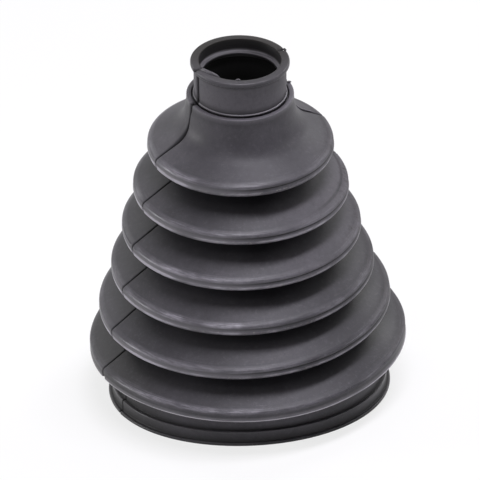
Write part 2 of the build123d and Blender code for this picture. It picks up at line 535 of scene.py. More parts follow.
worn_and_highlight_line, shoulder, face, low_edge = np.zeros((4, len(line)))
for number, (radius, height) in enumerate(folds):
    on_flank = is_outside * (heights > height + FLANK_FROM)
    worn_and_highlight_line += CREST_LINE_STRENGTH[number] * on_flank * hump(radii - radius + LINE_IN, LINE_HALF)
    over_crest = is_outside * (heights > height + SHOULDER_FROM) * (heights < height + SHOULDER_TO)
    shoulder += over_crest * hump(radii - radius, SHOULDER_HALF)
    if number:
        face += band(height + FACE_ABOVE, FACE_HALF) * (radii > radius - FACE_REACH)
        low_edge_band = band(height - LOW_EDGE_BELOW, LOW_EDGE_HALF)
        low_edge += low_edge_band * (radii > radius - LOW_EDGE_REACH)

# Painted highlights: on the lowest crest's lower edge, on the small step on the neck and on the
# upper rib.
painted_highlight = band(CREST_HEIGHTS[0] - CREST_BELOW + LOWEST_LINE_UP, LOWEST_LINE_HALF)
painted_highlight *= radii > CREST_RADII[0] - LOWEST_LINE_REACH
on_step = (radii > NECK + 0.05) * (radii < NECK + 1)
painted_highlight += STEP_HIGHLIGHT * band(STEP_TOP, STEP_LINE_HALF) * on_step
for radius, height, half, highlight_strength in HIGHLIGHT_EDGES:
    painted_highlight += is_outside * highlight_strength * hump(np.hypot(radii - radius, heights - height), half)
on_small_rib = (1 - is_outside) * (radii < SMALL_BORE + 0.1)
pale_rib_height = SMALL_RIBS[0][0] + RIB_LINE_UP
painted_highlight += RIB_HIGHLIGHT * on_small_rib * hump(heights - pale_rib_height, RIB_LINE_HALF)
print("Points on pale lines:", int((painted_highlight > 0).sum()))

# %% [markdown]
# ## The section as a mesh
# Where the outline turns, points are kept close together, and on straight runs they are kept far
# apart, so that the mesh spends its faces on the rounded crests and not on the flat flanks. Each
# point takes its marks with it as attributes, which Geometry Nodes can read by name.

# %% Keep the points that matter
OUTSIDE_TURN, INSIDE_TURN = radians(11), radians(24)
OUTSIDE_RUN, INSIDE_RUN = 1.6, 3.0  # mm


def thinned(line, turn_limit, run_limit):
    """The points to keep, by number: those where the line has turned enough or run on too long."""
    lengths, heading = headings(line)
    chosen, turned, run = [0], 0.0, 0.0
    for number in range(1, len(line)):
        turned += heading[number] - heading[number - 1]
        run += lengths[number - 1]
        if abs(turned) > turn_limit[number] or run > run_limit[number]:
            chosen.append(number)
            turned, run = 0.0, 0.0
    return chosen


tangent = np.roll(line, -1, 0) - np.roll(line, 1, 0)
tangent /= np.linalg.norm(tangent, axis=1)[:, None]
outward = np.stack([tangent[:, 1], np.zeros(len(line)), -tangent[:, 0]], 1)
pressed = line + outward[:, ::2] * (BEAD_STAND * bead - CREASE_DEPTH * crease)[:, None]
turn_limit = np.where(is_outside, OUTSIDE_TURN, INSIDE_TURN)
run_limit = np.where(is_outside, OUTSIDE_RUN, INSIDE_RUN)
chosen = thinned(pressed, turn_limit, run_limit)
print("Points kept on the section:", len(chosen))

# %% [markdown]
# The points that are left become a mesh of edges only. Each keeps its marks, and the direction
# that faces out of the rubber there, for the lathe to press the crease and the bead along.

# %% Section mesh
SKIN_MARKS = {
    "outside": is_outside * 1.0,
    "worn": worn,
    "hollow_shade": hollow_shade,
    "deep_shade": deep_shade,
    "painted_highlight": painted_highlight,
    "face": face,
    "shoulder": shoulder,
    "low_edge": low_edge,
    "worn_and_highlight_line": worn_and_highlight_line,
}


def line_mesh(name, points, closed=False):
    """A mesh of points joined in a line."""
    edges = [(number, number + 1) for number in range(len(points) - 1)]
    if closed:
        edges.append((len(points) - 1, 0))
    mesh = bpy.data.meshes.new(name)
    mesh.from_pydata(points, edges, [])
    return mesh


section_mesh = line_mesh("boot_section", [(x, 0, z) for x, z in line[chosen]], closed=True)
for label, values in {"crease": crease, "bead": bead, **SKIN_MARKS}.items():
    attribute = section_mesh.attributes.new(label, "FLOAT", "POINT")
    attribute.data.foreach_set("value", values[chosen].astype(np.float32))
attribute = section_mesh.attributes.new("outward", "FLOAT_VECTOR", "POINT")
attribute.data.foreach_set("vector", outward[chosen].astype(np.float32).ravel())
print("Section mesh:", len(section_mesh.vertices), "points with", ", ".join(SKIN_MARKS))

# %% [markdown]
# ## How the boot stands
# The rubber stands on its open end and leans a few degrees forward, which lifts the back of the
# lowest fold and squeezes the front. Its end is pressed slightly oval, its axis bends a little to
# one side on the way up, and each fold has settled at its own small slant. Everything that sits
# on the boot has to follow, so this is a node group of its own: it turns a place on a straight,
# round boot into that place on the standing one. A Lattice or a Simple Deform modifier could bend
# the boot too, but here each slant has to be set by height, so each is a smooth curve over the
# height.

# %% How far it leans, by height in mm
SIDE_SLANT = {0: 0.0, 4: 0.0, 19.5: -0.7, 33: -0.4, 46: 0.8, 60: 1.6, 74: 2.15, 88: 2.0, 118: 2.6}
FORWARD_SLANT = {0: 0.0, 4: 0.0, 118: 5.3}
CREST_SLANTS = (4.1, 4.75, 5.0, 5.1, 5.2, 5.3)
CREST_PINCH = 0.6  # each crest is pinched at the front
SIDEWAYS = {0: -0.2, 19.5: 0.0, 33: -0.4, 46: -0.5, 60: -0.27, 74: 0.16, 88: 0.64, 118: 1.7}
BACKWARDS = {0: 1.4, 4: 1.3, 12: 0.1, 19.5: -0.83, 33: -2.0, 60: -4.36, 88: -6.8, 118: -9.41}
DEPTH_TO_WIDTH = {0: 0.93, 4: 0.93, 19.5: 0.981, 33: 0.994, 46: 1.0, 74: 1.0, 88: 1.015, 118: 1.0}
SINKING = {0: 0.0, 10: 0.0, 60: -0.19, 118: -0.41}
RIPPLE_SHARE = {0: 0.0, 4: 0.0, 13: 0.5, 19.5: 1.0, 26: 0.6, 33: 0.3, 46: 0.0, 118: 0.0}
CURVE_TOP = 120  # the height that the end of a curve stands for

for crest_height, slant in zip(CREST_HEIGHTS, CREST_SLANTS):
    FORWARD_SLANT[crest_height - CREST_BELOW] = slant
    FORWARD_SLANT[crest_height + CREST_ABOVE] = slant + CREST_PINCH


def over_height(tree, height, points):
    """A smooth curve through values given at heights in millimetres."""
    low, high = min(points.values()), max(points.values())
    node = add(tree, "ShaderNodeFloatCurve", {"Value": height / CURVE_TOP})
    curve = node.mapping.curves[0]
    node.mapping.use_clip = False
    for at, value in sorted(points.items()):
        curve.points.new(at / CURVE_TOP, (value - low) / (high - low))
    for _ in range(2):  # the two points that a new curve comes with
        extra = [point for point in curve.points if tuple(point.location) in ((0, 0), (1, 1))]
        if extra and len(curve.points) > len(points):
            curve.points.remove(extra[-1])
    node.mapping.update()
    return Wire(tree, node.outputs[0]) * (high - low) + low


print("The rim moves forward by", -BACKWARDS[118], "mm and to the side by", SIDEWAYS[118], "mm")

# %% [markdown]
# A tree is worth most when its inputs have names. Then the node shows what it needs, and each use
# of it can have its own sizes.

# %% Trees with named inputs
def new_tree(name, kind, inputs, outputs):
    """A tree with named inputs and outputs, each given a number or the name of its kind."""
    tree = bpy.data.node_groups.new(name, kind)
    for direction, sockets in (("INPUT", inputs), ("OUTPUT", outputs)):
        for label, value in sockets.items():
            named_kind = isinstance(value, str)
            full_kind = "NodeSocket" + (value if named_kind else type(value).__name__.title())
            socket = tree.interface.new_socket(name=label, in_out=direction, socket_type=full_kind)
            if not named_kind:
                socket.default_value = value
    source = tree.nodes.new("NodeGroupInput")
    given = {socket.name: Wire(tree, socket) for socket in source.outputs if socket.name}
    return tree, given, tree.nodes.new("NodeGroupOutput")


def joined(tree, x, y, z):
    """One vector from three parts."""
    return wire(tree, "ShaderNodeCombineXYZ", {"X": x, "Y": y, "Z": z})


standing, given, result = new_tree(
    "Standing",
    "GeometryNodeTree",
    {
        "Straight place": "Vector",
        "Twofold ripple": 0.37,
        "Threefold ripple": 0.55,
        "Open end skew": 0.3,
    },
    {"Place": "Vector"},
)
print("Inputs of the standing group:", ", ".join(given))

# %% [markdown]
# The open end of the real boot isn't a true oval. A skew of two, three and four waves pushes it in
# and out, and fades away at the lowest crest. A ripple of two and three waves lifts and drops the
# lowest fold. Then each ring is tilted to the side, tilted forward, and moved.

# %% Standing group
TWOFOLD_TURN, THREEFOLD_TURN = radians(172), radians(-62)
SKEW_TWOFOLD, SKEW_FOURFOLD = 0.7, 0.4  # beside the threefold wave
OPEN_END, LOWEST_CREST = 4, 19  # the skew fades out between these heights

x, y, z = given["Straight place"].split()
azimuth = y.maths("ARCTAN2", x)
ripple = (azimuth * 2 - TWOFOLD_TURN).maths("COSINE") * given["Twofold ripple"]
ripple = ripple + (azimuth * 3 - THREEFOLD_TURN).maths("COSINE") * given["Threefold ripple"]
ripple = ripple * over_height(standing, z, RIPPLE_SHARE)
skew = (azimuth * 3).maths("SINE") + (azimuth * 2).maths("SINE") * SKEW_TWOFOLD
skew = skew + (azimuth * 4).maths("COSINE") * SKEW_FOURFOLD
skew = skew * given["Open end skew"] * z.between(OPEN_END, LOWEST_CREST, 1, 0) * -1
oval_x = x + azimuth.maths("COSINE") * skew
oval_y = (y + azimuth.maths("SINE") * skew) * over_height(standing, z, DEPTH_TO_WIDTH)
ring = joined(standing, oval_x, oval_y, ripple)
for axis, slant in (("Y_AXIS", SIDE_SLANT), ("X_AXIS", FORWARD_SLANT)):
    tilt = {"Vector": ring, "Angle": over_height(standing, z, slant) * (pi / 180)}
    ring = wire(standing, "ShaderNodeVectorRotate", tilt, rotation_type=axis)
ring_x, ring_y, ring_z = ring.split()
place = joined(
    standing,
    ring_x + over_height(standing, z, SIDEWAYS),
    ring_y + over_height(standing, z, BACKWARDS),
    ring_z + z + over_height(standing, z, SINKING),
)
give_out(result, "Standing group", Place=place)

# %% [markdown]
# ## The lathe
# Blender's Spin or Screw could turn the section, but then nothing could change with the angle.
# Here Geometry Nodes lays out a grid with one column for each step round and one row for each
# point of the section, and rolls it up. The columns crowd together at the two parting lines,
# where a groove less than half a millimetre wide has to be pressed in.

# %% Turned boot tree
PARTING_ANGLE = radians(204)  # seen from above; the other parting line is opposite
STEPS_ROUND = 176

lathe, given, result = new_tree(
    "Turned boot",
    "GeometryNodeTree",
    {
        "Section": "Geometry",
        "Steps round": STEPS_ROUND,
        "Parting angle": PARTING_ANGLE,
        "Bunching": 0.9,
        "Crease depth": CREASE_DEPTH,
        "Bead stand": BEAD_STAND,
        "Groove depth": 0.4,
        "Groove width": 0.26,
        "Half stands proud": 0.12,
        "Seed": 3.0,
        "Rubber": "Material",
    },
    {"Boot": "Geometry"},
)
section = given["Section"]
count = wire(lathe, "GeometryNodeAttributeDomainSize", {"Geometry": section}, component="MESH")
columns, rows = given["Steps round"] + 1, count + 1
size = {"Size X": 1.0, "Size Y": 1.0, "Vertices X": columns, "Vertices Y": rows}
grid = add(lathe, "GeometryNodeMeshGrid", size)
across, up, _ = wire(lathe, "GeometryNodeInputPosition").split()
turn = (across + 0.5) * (2 * pi)
row = wire(lathe, "FunctionNodeFloatToInt", {"Float": (up + 0.5) * count}, rounding_mode="ROUND")
row = row.maths("MODULO", count)


def named(tree, label, kind="FLOAT"):
    """An attribute of the mesh that is being worked on."""
    return wire(tree, "GeometryNodeInputNamedAttribute", {"Name": label}, data_type=kind)


def taken(value, kind="FLOAT"):
    """A value of the section, read for the row that a point of the grid is on."""
    inputs = {"Geometry": section, "Value": value, "Index": row}
    return wire(lathe, "GeometryNodeSampleIndex", inputs, data_type=kind, domain="POINT")


radius, _, height = taken(wire(lathe, "GeometryNodeInputPosition"), "FLOAT_VECTOR").split()
out_r, _, out_z = taken(named(lathe, "outward", "FLOAT_VECTOR"), "FLOAT_VECTOR").split()
skin_marks = {label: taken(named(lathe, label)) for label in SKIN_MARKS}
print("Marks that the lathe passes on:", ", ".join(skin_marks))

# %% [markdown]
# The grid is now rolled up. The distance from the parting line is the radius times the sine of
# the turn, which is nought at both lines at once. A line in a real mould wanders a little, its
# edges don't quite meet, so that one half stands proud, and it gapes more on the bell, at the
# edge of the lowest fold and on the neck. Beads, creases and the groove are pressed in along the
# direction that faces out of the rubber.

# %% Turned boot tree, rolled up and marked
CREASE_FADES, CREASE_DEEPENS = radians(225), radians(318)  # the ways that these sides face
FADED, DEEPENED = 0.1, 0.9  # the share of a crease that is left there, and that is added there
UNEVEN_HEIGHT = 45  # mm of height that change a crease as much as a radian round the boot does
UNEVEN_CREASE = (-0.4, 0.3, 0.35, 1.3)  # noise from and to, and the shares of its depth there
BELL_GAPE, EDGE_GAPE = (91, 96, 96, 101), (15, 17, 17.5, 19.5)  # heights
NECK_GAPE = (103, 106)
BELL_WIDER, EDGE_WIDER, NECK_WIDER, LOW_EDGE_WIDER = 1.3, 1.6, 1.3, 0.9
DEEPER_WHERE_WIDE = 0.8  # mm deeper for each mm of the line's width
WANDER, WANDERS_PER_MM = 0.3, 0.09
PROUD_FROM, PROUD_FADES = (-0.05, 0.25), 2.5  # mm from the line


def slow_noise(tree, place, seed, scale, detail=1.0):
    """Smooth noise from -1 to 1."""
    inputs = {"Vector": place, "W": seed, "Scale": scale, "Detail": detail}
    return (wire(tree, "ShaderNodeTexNoise", inputs, noise_dimensions="4D") - 0.5) * 2


bunched = turn - (turn * 2).maths("SINE") * given["Bunching"] * 0.5
angle = bunched + given["Parting angle"]
along_height = joined(lathe, 0, 0, height * WANDERS_PER_MM)
wander = slow_noise(lathe, along_height, given["Seed"] + 5, 1.0) * WANDER
seam = radius * bunched.maths("SINE") + wander

round_place = [angle.maths("COSINE"), angle.maths("SINE"), height / UNEVEN_HEIGHT]
uneven = slow_noise(lathe, joined(lathe, *round_place), given["Seed"] + 2, 2.0, detail=2.0)
beside_line = (angle - CREASE_FADES).maths("COSINE").between(0.45, 0.9, 1, FADED)
creased = taken(named(lathe, "crease")) * beside_line
deeper = (angle - CREASE_DEEPENS).maths("COSINE").between(0, 0.7) * DEEPENED + 1
pressed_in = creased * given["Crease depth"] * uneven.between(*UNEVEN_CREASE) * deeper
beaded = taken(named(lathe, "bead")) * beside_line * given["Bead stand"]

wider = height.within(*BELL_GAPE) * BELL_WIDER + height.within(*EDGE_GAPE) * EDGE_WIDER
wider = wider + height.between(*NECK_GAPE) * NECK_WIDER + skin_marks["low_edge"] * LOW_EDGE_WIDER
gap = given["Groove width"] * (wider + 1)
groove_share = ((seam / gap).maths("POWER", 2) * -1).maths("EXPONENT")
groove = groove_share * (given["Groove depth"] + gap * DEEPER_WHERE_WIDE)
proud_share = seam.between(*PROUD_FROM) * (seam / -PROUD_FADES).maths("EXPONENT")
on_line = (proud_share * given["Half stands proud"] - groove) * skin_marks["outside"]
stands = beaded - pressed_in + on_line

new_radius = radius + out_r * stands
turned_x, turned_y = new_radius * angle.maths("COSINE"), new_radius * angle.maths("SINE")
straight = joined(lathe, turned_x, turned_y, height + out_z * stands)
print("Turned boot tree has", len(lathe.nodes), "nodes so far")

# %% [markdown]
# The marks are kept on the mesh for the materials to read, and the straight boot is stood up. The
# tree's last nodes make the geometry real, since instances are lost on export, and give it its
# material.

# %% Turned boot tree, finished
TOUCHING = 1e-6  # metres; the first and the last column meet within this


def stored(tree, mesh, label, value, kind="FLOAT", domain="POINT"):
    """Keeps a value on the mesh under a name."""
    inputs = {"Geometry": mesh, "Name": label, "Value": value}
    return wire(tree, "GeometryNodeStoreNamedAttribute", inputs, data_type=kind, domain=domain)


def stood(tree, mesh, place):
    """Moves a mesh to where a straight place in millimetres is on the standing boot, in metres."""
    group = wire(tree, "GeometryNodeGroup", {"Straight place": place}, node_tree=standing)
    metres = wire(tree, "ShaderNodeVectorMath", {0: group, "Scale": MM}, operation="SCALE")
    return wire(tree, "GeometryNodeSetPosition", {"Geometry": mesh, "Position": metres})


def ended(tree, mesh, rubber):
    """Smooth shading, real geometry and the material, which end every tree."""
    mesh = wire(tree, "GeometryNodeSetShadeSmooth", {"Geometry": mesh, "Shade Smooth": True})
    mesh = wire(tree, "GeometryNodeRealizeInstances", {"Geometry": mesh})
    return wire(tree, "GeometryNodeSetMaterial", {"Geometry": mesh, "Material": rubber})


mesh, unrolled = (Wire(lathe, grid.outputs[name]) for name in ("Mesh", "UV Map"))
mesh = stored(lathe, mesh, "around", unrolled, "FLOAT2", "CORNER")
mesh = stored(lathe, mesh, "straight", straight, "FLOAT_VECTOR")
for label, value in {"seam": seam, "gap": gap, "crease": creased, **skin_marks}.items():
    mesh = stored(lathe, mesh, label, value)
mesh = stood(lathe, mesh, named(lathe, "straight", "FLOAT_VECTOR"))
mesh = wire(lathe, "GeometryNodeMergeByDistance", {"Geometry": mesh, "Distance": TOUCHING})
give_out(result, "Turned boot tree", Boot=ended(lathe, mesh, given["Rubber"]))

# %% [markdown]
# ## The rubber
# Moulded rubber is nearly black, but no part of it is plain. Its skin has a fine grain. Wax comes
# to the surface and dries to a greyish bloom, which handling wipes into streaks along the rings,
# and edges that rub in the box go pale. Light and shade are painted on as well: highlights along
# edges, painted light on the neck, the cuff and some sides, and painted shade in the grooves,
# inside and along the parting lines. Painted textures could show all that, but noise worked out
# from the place on the boot has no seams and no limit to its sharpness. Each effect is a node
# group that gives a mask or a height, so that the boot and the scraps of flash on it can share
# them.

# %% Group: bloom in slow patches
def mask_group(name, inputs, *outputs):
    """A shader group that knows the place on the straight boot and puts out plain numbers."""
    inputs = {"Straight place": "Vector", **inputs}
    return new_tree(name, "ShaderNodeTree", inputs, dict.fromkeys(outputs, "Float"))


def noise(tree, place, scale, detail=2.0, roughness=0.5):
    """Plain noise from nought to one, with a scale in waves per millimetre."""
    inputs = {"Vector": place, "Scale": scale, "Detail": detail, "Roughness": roughness}
    return wire(tree, "ShaderNodeTexNoise", inputs)


inputs = {"Patch size": 30.0, "Amount": 1.0}
bloom_group, given, result = mask_group("Bloom", inputs, "Mask")
per_mm = given["Patch size"].maths("POWER", -1)
patches = noise(bloom_group, given["Straight place"], per_mm, detail=4.0, roughness=0.62)
give_out(result, "Bloom group", Mask=patches.between(0.35, 0.72) * given["Amount"])

# %% [markdown]
# A scuff is a streak that runs along a ring, so its noise is stretched: the distance run round
# the axis is divided by a length, and the other two ways by a width. Slower noise decides where
# scuffs are at all, and a speckle breaks them up.

# %% Group: scuffs along the rings
def polar(place):
    """The turn round the axis, the distance from it and the height of a place."""
    x, y, z = place.split()
    return y.maths("ARCTAN2", x), (x * x + y * y).maths("SQRT"), z


inputs = {"Length": 9.0, "Width": 0.35, "Amount": 1.0}
scuff_group, given, result = mask_group("Ring scuffs", inputs, "Mask", "Fine")
place, length, width = given["Straight place"], given["Length"], given["Width"]
turn, far, height = polar(place)
stretched = joined(scuff_group, turn * far / length, far / width, height / width)
long_marks = noise(scuff_group, stretched, 1.0, detail=3.0, roughness=0.6)
where = noise(scuff_group, place, 0.07)
speckle = noise(scuff_group, place, 1.6, detail=3.0, roughness=0.7)
scuffs = long_marks.between(0.5, 0.72) * where.between(0.42, 0.6) * speckle.between(0.3, 0.6)
give_out(result, "Scuff group", Mask=scuffs * given["Amount"], Fine=long_marks)

# %% [markdown]
# Handling doesn't reach every side alike. This group is one on the side that faces a given way
# and fades towards the others, by the cosine of the turn between them.

# %% Group: which side of the boot
inputs = {"Towards": 0.0, "From": 0.3, "To": 0.9}
side_group, given, result = mask_group("Side", inputs, "Mask")
turn, _, _ = polar(given["Straight place"])
facing = (turn - given["Towards"]).maths("COSINE")
give_out(result, "Side group", Mask=facing.between(given["From"], given["To"]))

# %% [markdown]
# An edge doesn't wear evenly. The mark from the section says where the edges are, short streaks
# along the ring break it up, and slow noise leaves some stretches almost untouched. The painted
# highlights along edges are broken up in the same way.

# %% Group: worn edges
STREAK = 5  # times as long as wide

inputs = {"Edge": 0.0, "Speckle size": 0.7, "Amount": 1.0}
wear_group, given, result = mask_group("Edge wear", inputs, "Mask")
place, size = given["Straight place"], given["Speckle size"]
turn, far, height = polar(place)
stretched = joined(wear_group, turn * far / (size * STREAK), far / size, height / size)
small = noise(wear_group, stretched, 1.0, detail=4.0, roughness=0.65)
large = noise(wear_group, place, 0.09)
wear_and_highlight = given["Edge"] * small.between(0.32, 0.66, 0.45, 1.25) * large.between(0.36, 0.6, 0.3, 1.15)
wear_and_highlight = wear_and_highlight * given["Amount"]
give_out(result, "Wear group", Mask=wear_and_highlight.maths("MINIMUM", 1.0))

# %% [markdown]
# Close up, the skin has the fine grain of the mould's steel, with a few pits, and it is mottled
# in lighter and darker patches about a millimetre wide.

# %% Groups: grain and mottle
grain_group, given, result = mask_group("Skin grain", {"Grain size": 0.45}, "Height", "Pits")
per_mm = given["Grain size"].maths("POWER", -1)
finest = noise(grain_group, given["Straight place"], per_mm, detail=3.0, roughness=0.6)
wide = noise(grain_group, given["Straight place"], 0.35)
give_out(result, "Grain group", Height=finest * 0.6 + wide * 0.8, Pits=finest.between(0.62, 0.75))

mottle_group, given, result = mask_group("Mottled skin", {"Patch size": 1.3}, "Light", "Dark")
per_mm = given["Patch size"].maths("POWER", -1)
clouds = noise(mottle_group, given["Straight place"], per_mm, detail=6.0, roughness=0.78)
light, dark = clouds.between(0.5, 0.74), clouds.between(0.3, 0.5, 1, 0)
give_out(result, "Mottle group", Light=light, Dark=dark)

# %% [markdown]
# The groove of a parting line is too narrow to look dark by its shade alone, so its shade is
# painted: a dark bell curve across the distance that the lathe kept.

# %% Group: the parting line
inputs, outputs = {"Distance": 1.0, "Half width": 0.34}, {"Dark": "Float"}
parting_group, given, result = new_tree("Parting line", "ShaderNodeTree", inputs, outputs)
spread = (given["Distance"] / given["Half width"]).maths("POWER", 2) * -1
give_out(result, "Parting line group", Dark=spread.maths("EXPONENT"))

# %% [markdown]
# ## Masks on the skin
# A material reads the marks that the lathe kept on the mesh by their names: the place on the
# straight boot, the distance from the parting line, and where the section bulges or is hollow.
# The groups turn them into masks. A small class holds what all the masks of one material need.

# %% What a material reads
SIDES = {  # the way a side faces in degrees, the front at 270, and the cosines its mask goes by
    "front_left": (243, 0.74, 0.98),
    "far_left": (196, 0.72, 0.95),
    "right": (318, -0.1, 0.7),
    "right_back": (340, 0.45, 0.95),
    "back_right": (20, 0.55, 0.95),
    "back": (90, -0.7, 0.4),
}


class Skin:
    """The marks, the place and the sides of the boot, as one material reads them."""

    def __init__(self, tree):
        self.tree = tree
        self.place = self.mark("straight", "Vector")
        _, self.radius, self.height = polar(self.place)
        self.outside = self.mark("outside")
        self.streaks = self.masked(scuff_group, "Fine")
        for name, (way, low, high) in SIDES.items():
            setattr(self, name, self.masked(side_group, Towards=radians(way), From=low, To=high))

    def mark(self, label, output="Fac"):
        """A value that the lathe kept on the mesh."""
        return wire(self.tree, "ShaderNodeAttribute", output=output, attribute_name=label)

    def masked(self, group, output=0, **inputs):
        """Places a group and gives one of its outputs."""
        node = add(self.tree, "ShaderNodeGroup", node_tree=group)
        if "Straight place" in node.inputs:
            feed(self.tree, node.inputs["Straight place"], self.place)
        for label, value in inputs.items():
            feed(self.tree, node.inputs[label.replace("_", " ")], value)
        return Wire(self.tree, node.outputs[output])


print("Sides that a mask can be kept to:", ", ".join(SIDES))

# %% [markdown]
# The first masks are what lies on the skin, with painted light and shade among them. Bloom lies
# in slow patches, and on the same layer the neck, the cuff and the right of the middle folds are
# lightened as painted light, less on the lower folds on the right. The light mottle is stronger on
# the right and the far left as painted light, the lower folds on the far left are darkened as
# painted shade, and brown dust lies on the back right edges.

# %% Masks: bloom with painted light, mottle, dust and painted shade
NECK_ZONE = (104.5, 107, 115.8, 117)  # heights where a zone fades in, and where it fades out again
BELL_TOP_ZONE = (97, 101, 104.5, 105.5)
BLOOM_RISES, BLOOM_FALLS = (45, 72), (84, 95)  # heights where a change begins and ends
LOW_FOLDS_END, CUFF_END, FOOT_END = (26, 48), (13, 16), (25, 32)
RIM_TOP = (117.2, 117.9)


def dry_masks(skin):
    """What lies on the skin in patches, with painted light and painted shade among it."""
    height = skin.height
    # Painted light: the neck is lightened on this layer, over the bloom patches.
    bloom_and_painted_light = skin.masked(bloom_group, Amount=0.5) + height.within(*NECK_ZONE)
    bloom_and_painted_light = (bloom_and_painted_light + height.within(*BELL_TOP_ZONE) * 0.1) * skin.outside
    on_folds = height.between(*BLOOM_RISES) * height.between(*BLOOM_FALLS, 1, 0.1)
    on_folds = on_folds - height.between(*LOW_FOLDS_END, 1, 0)
    # Painted light: the right of the middle folds and the cuff under the lowest fold are lightened,
    # less on the lower folds on the right.
    bloom_and_painted_light = bloom_and_painted_light + skin.right_back * on_folds * 0.55 + height.between(*CUFF_END, 1, 0) * 0.35
    dark = skin.masked(mottle_group, "Dark")
    dusty = skin.back_right * skin.mark("shoulder")
    speckled = skin.masked(mottle_group, "Light", Patch_size=0.9)
    # Painted light: the light mottle is stronger on the right and on the far left.
    mottle_painted_light = skin.right * 0.12 + skin.far_left * 0.1 + 0.08
    return {
        "bloom_and_painted_light": bloom_and_painted_light,
        # Painted shade: the lower folds on the far left are darkened.
        "painted_shade_foot": skin.far_left * height.between(*FOOT_END, 1, 0),
        "light_mottle": skin.masked(mottle_group, "Light") * mottle_painted_light,
        "dark_mottle": dark,
        "dusty": dusty,
        "brown_dust": dusty * (dark * 1.2 + 0.25),
        "specks": speckled * skin.mark("low_edge") * skin.right,
        "rim_top": height.between(*RIM_TOP) * (skin.back * 0.75 + 0.2),
    }


# On the neck this layer is painted light.
print("Bloom is full on the neck from", NECK_ZONE[1], "to", NECK_ZONE[2], "mm up")

# %% [markdown]
# The next masks are where the skin is rubbed and where light is painted: scuffs on the shoulders
# of the folds, worn edges with painted highlights along the folds and their lower edges, fine
# painted highlight lines on other edges, and the upright faces at the front left lightened as
# painted light. A crease is darkened as painted shade, most of all on the right, and keeps that
# even where its edge is worn.

# %% Masks: scuffs, worn edges and painted highlights
FOLDS_ZONE = (18, 21, 92, 100)
FAR_LEFT_EDGE, RIGHT_EDGE, OTHER_EDGE = 5.0, 0.9, 0.25  # how pale the low edges are there: a painted highlight on the far left, and wear elsewhere


def rubbed_masks(skin, wear_amount):
    """Where handling has wiped or rubbed the skin, and where highlights, light and shade are
    painted.
    """
    crease, edge = skin.mark("crease"), skin.mark("worn")
    at_edges = edge * (skin.height.within(*FOLDS_ZONE) * 0.14 + 0.02)
    # Painted highlight: the line along each fold's outer edge, strongest at the front left.
    at_lines = skin.mark("worn_and_highlight_line") * (skin.front_left * 0.55 + 0.06)
    at_lines = at_lines * skin.streaks.between(0.35, 0.62, 0.35, 1.0)
    # The pale lower edges are mostly a painted highlight on the far left, and wear elsewhere.
    by_side = skin.far_left * FAR_LEFT_EDGE + skin.right * RIGHT_EDGE + OTHER_EDGE
    rubbed_and_lit = (at_edges + at_lines + skin.mark("low_edge") * by_side) * (crease * -1 + 1)
    return {
        "edge": edge,
        "scuffs": skin.masked(scuff_group, Amount=0.5) * (skin.mark("shoulder") + 0.08),
        # Painted light: the upright faces of the folds are lightened at the front left and far
        # left.
        "painted_light_face": skin.mark("face") * (skin.front_left * 0.8 + skin.far_left * 0.5),
        "wear_and_highlight": skin.masked(wear_group, Edge=rubbed_and_lit, Amount=wear_amount),
        # Painted highlights: fine pale lines on the edges of the collar, shoulder, lip, rim, the
        # lowest crest, the neck step and the upper rib.
        "painted_highlight_lines": skin.mark("painted_highlight") * skin.streaks.between(0.3, 0.6, 0.35, 1.0),
        # Painted shade: the crease is darkened, most of all on the right.
        "crease": crease * (skin.right * 0.95 + 0.05),
    }


print("Worn edges are kept to heights from", FOLDS_ZONE[0], "to", FOLDS_ZONE[3], "mm")

# %% [markdown]
# The last masks are painted shade: the whole inside, darker still further down the bore, the
# depths of the grooves and their hollow corners, the parting lines, and a thin line on the flank
# of the fifth fold, on the right. The pits of the grain come with them.

# %% Masks: painted shade
# A thin line of painted shade on the flank of the fifth fold, on the right, a little inside its
# edge.
SHADE_RING_RADII, SHADE_RING_HEIGHTS = (30.3, 30.9, 31.0, 31.6), (74.9, 75.3, 78.5, 79.5)
SHADE_RING_X = (19, 27)
BORE_DARKENS = (110, 113)  # heights
DARK_LINE_WIDTH = 1.6  # times the width of the groove


def dark_masks(skin):
    """Painted shade where light doesn't reach, and the pits of the grain."""
    # Painted shade: the whole inside is darkened, and the bore more so further down.
    inside = skin.outside * -1 + 1
    # Painted shade along the parting line, wider where its groove gapes.
    half_width = skin.mark("gap") * DARK_LINE_WIDTH
    seam = skin.masked(parting_group, "Dark", Distance=skin.mark("seam"), Half_width=half_width)
    # Painted shade: a thin line on the fifth fold, on the right.
    painted_shade_ring = skin.radius.within(*SHADE_RING_RADII) * skin.height.within(*SHADE_RING_HEIGHTS)
    painted_shade_ring = painted_shade_ring * skin.place.split()[0].between(*SHADE_RING_X)
    masks = {
        "inside": inside,
        # painted shade deep in the grooves
        "deep_shade": skin.mark("deep_shade"),
        # painted shade in hollow corners
        "hollow_shade": skin.mark("hollow_shade"),
        "painted_shade_ring": painted_shade_ring * skin.streaks.between(0.3, 0.6, 0.5, 1.0),
        "down_bore": skin.height.between(*BORE_DARKENS, 1, 0) * inside,
        "pits": skin.masked(grain_group, "Pits"),
        "parting_line_shade": seam * skin.outside,
    }
    masks["unlit"] = (masks["parting_line_shade"] + masks["down_bore"]).maths("MINIMUM", 1.0)
    return masks


# This line is painted shade.
print("The ring's mark lies", SHADE_RING_HEIGHTS[1], "to", SHADE_RING_HEIGHTS[2], "mm up")

# %% [markdown]
# ## Layers of colour
# The masks choose between the colours of clean rubber, bloom, wear and dirt, and painted light,
# highlights and shade. Each layer covers those below it as far as its mask and its strength say,
# as glazes of paint would. The roughness starts from that of the clean rubber, and each mask
# adds to it or takes from it.

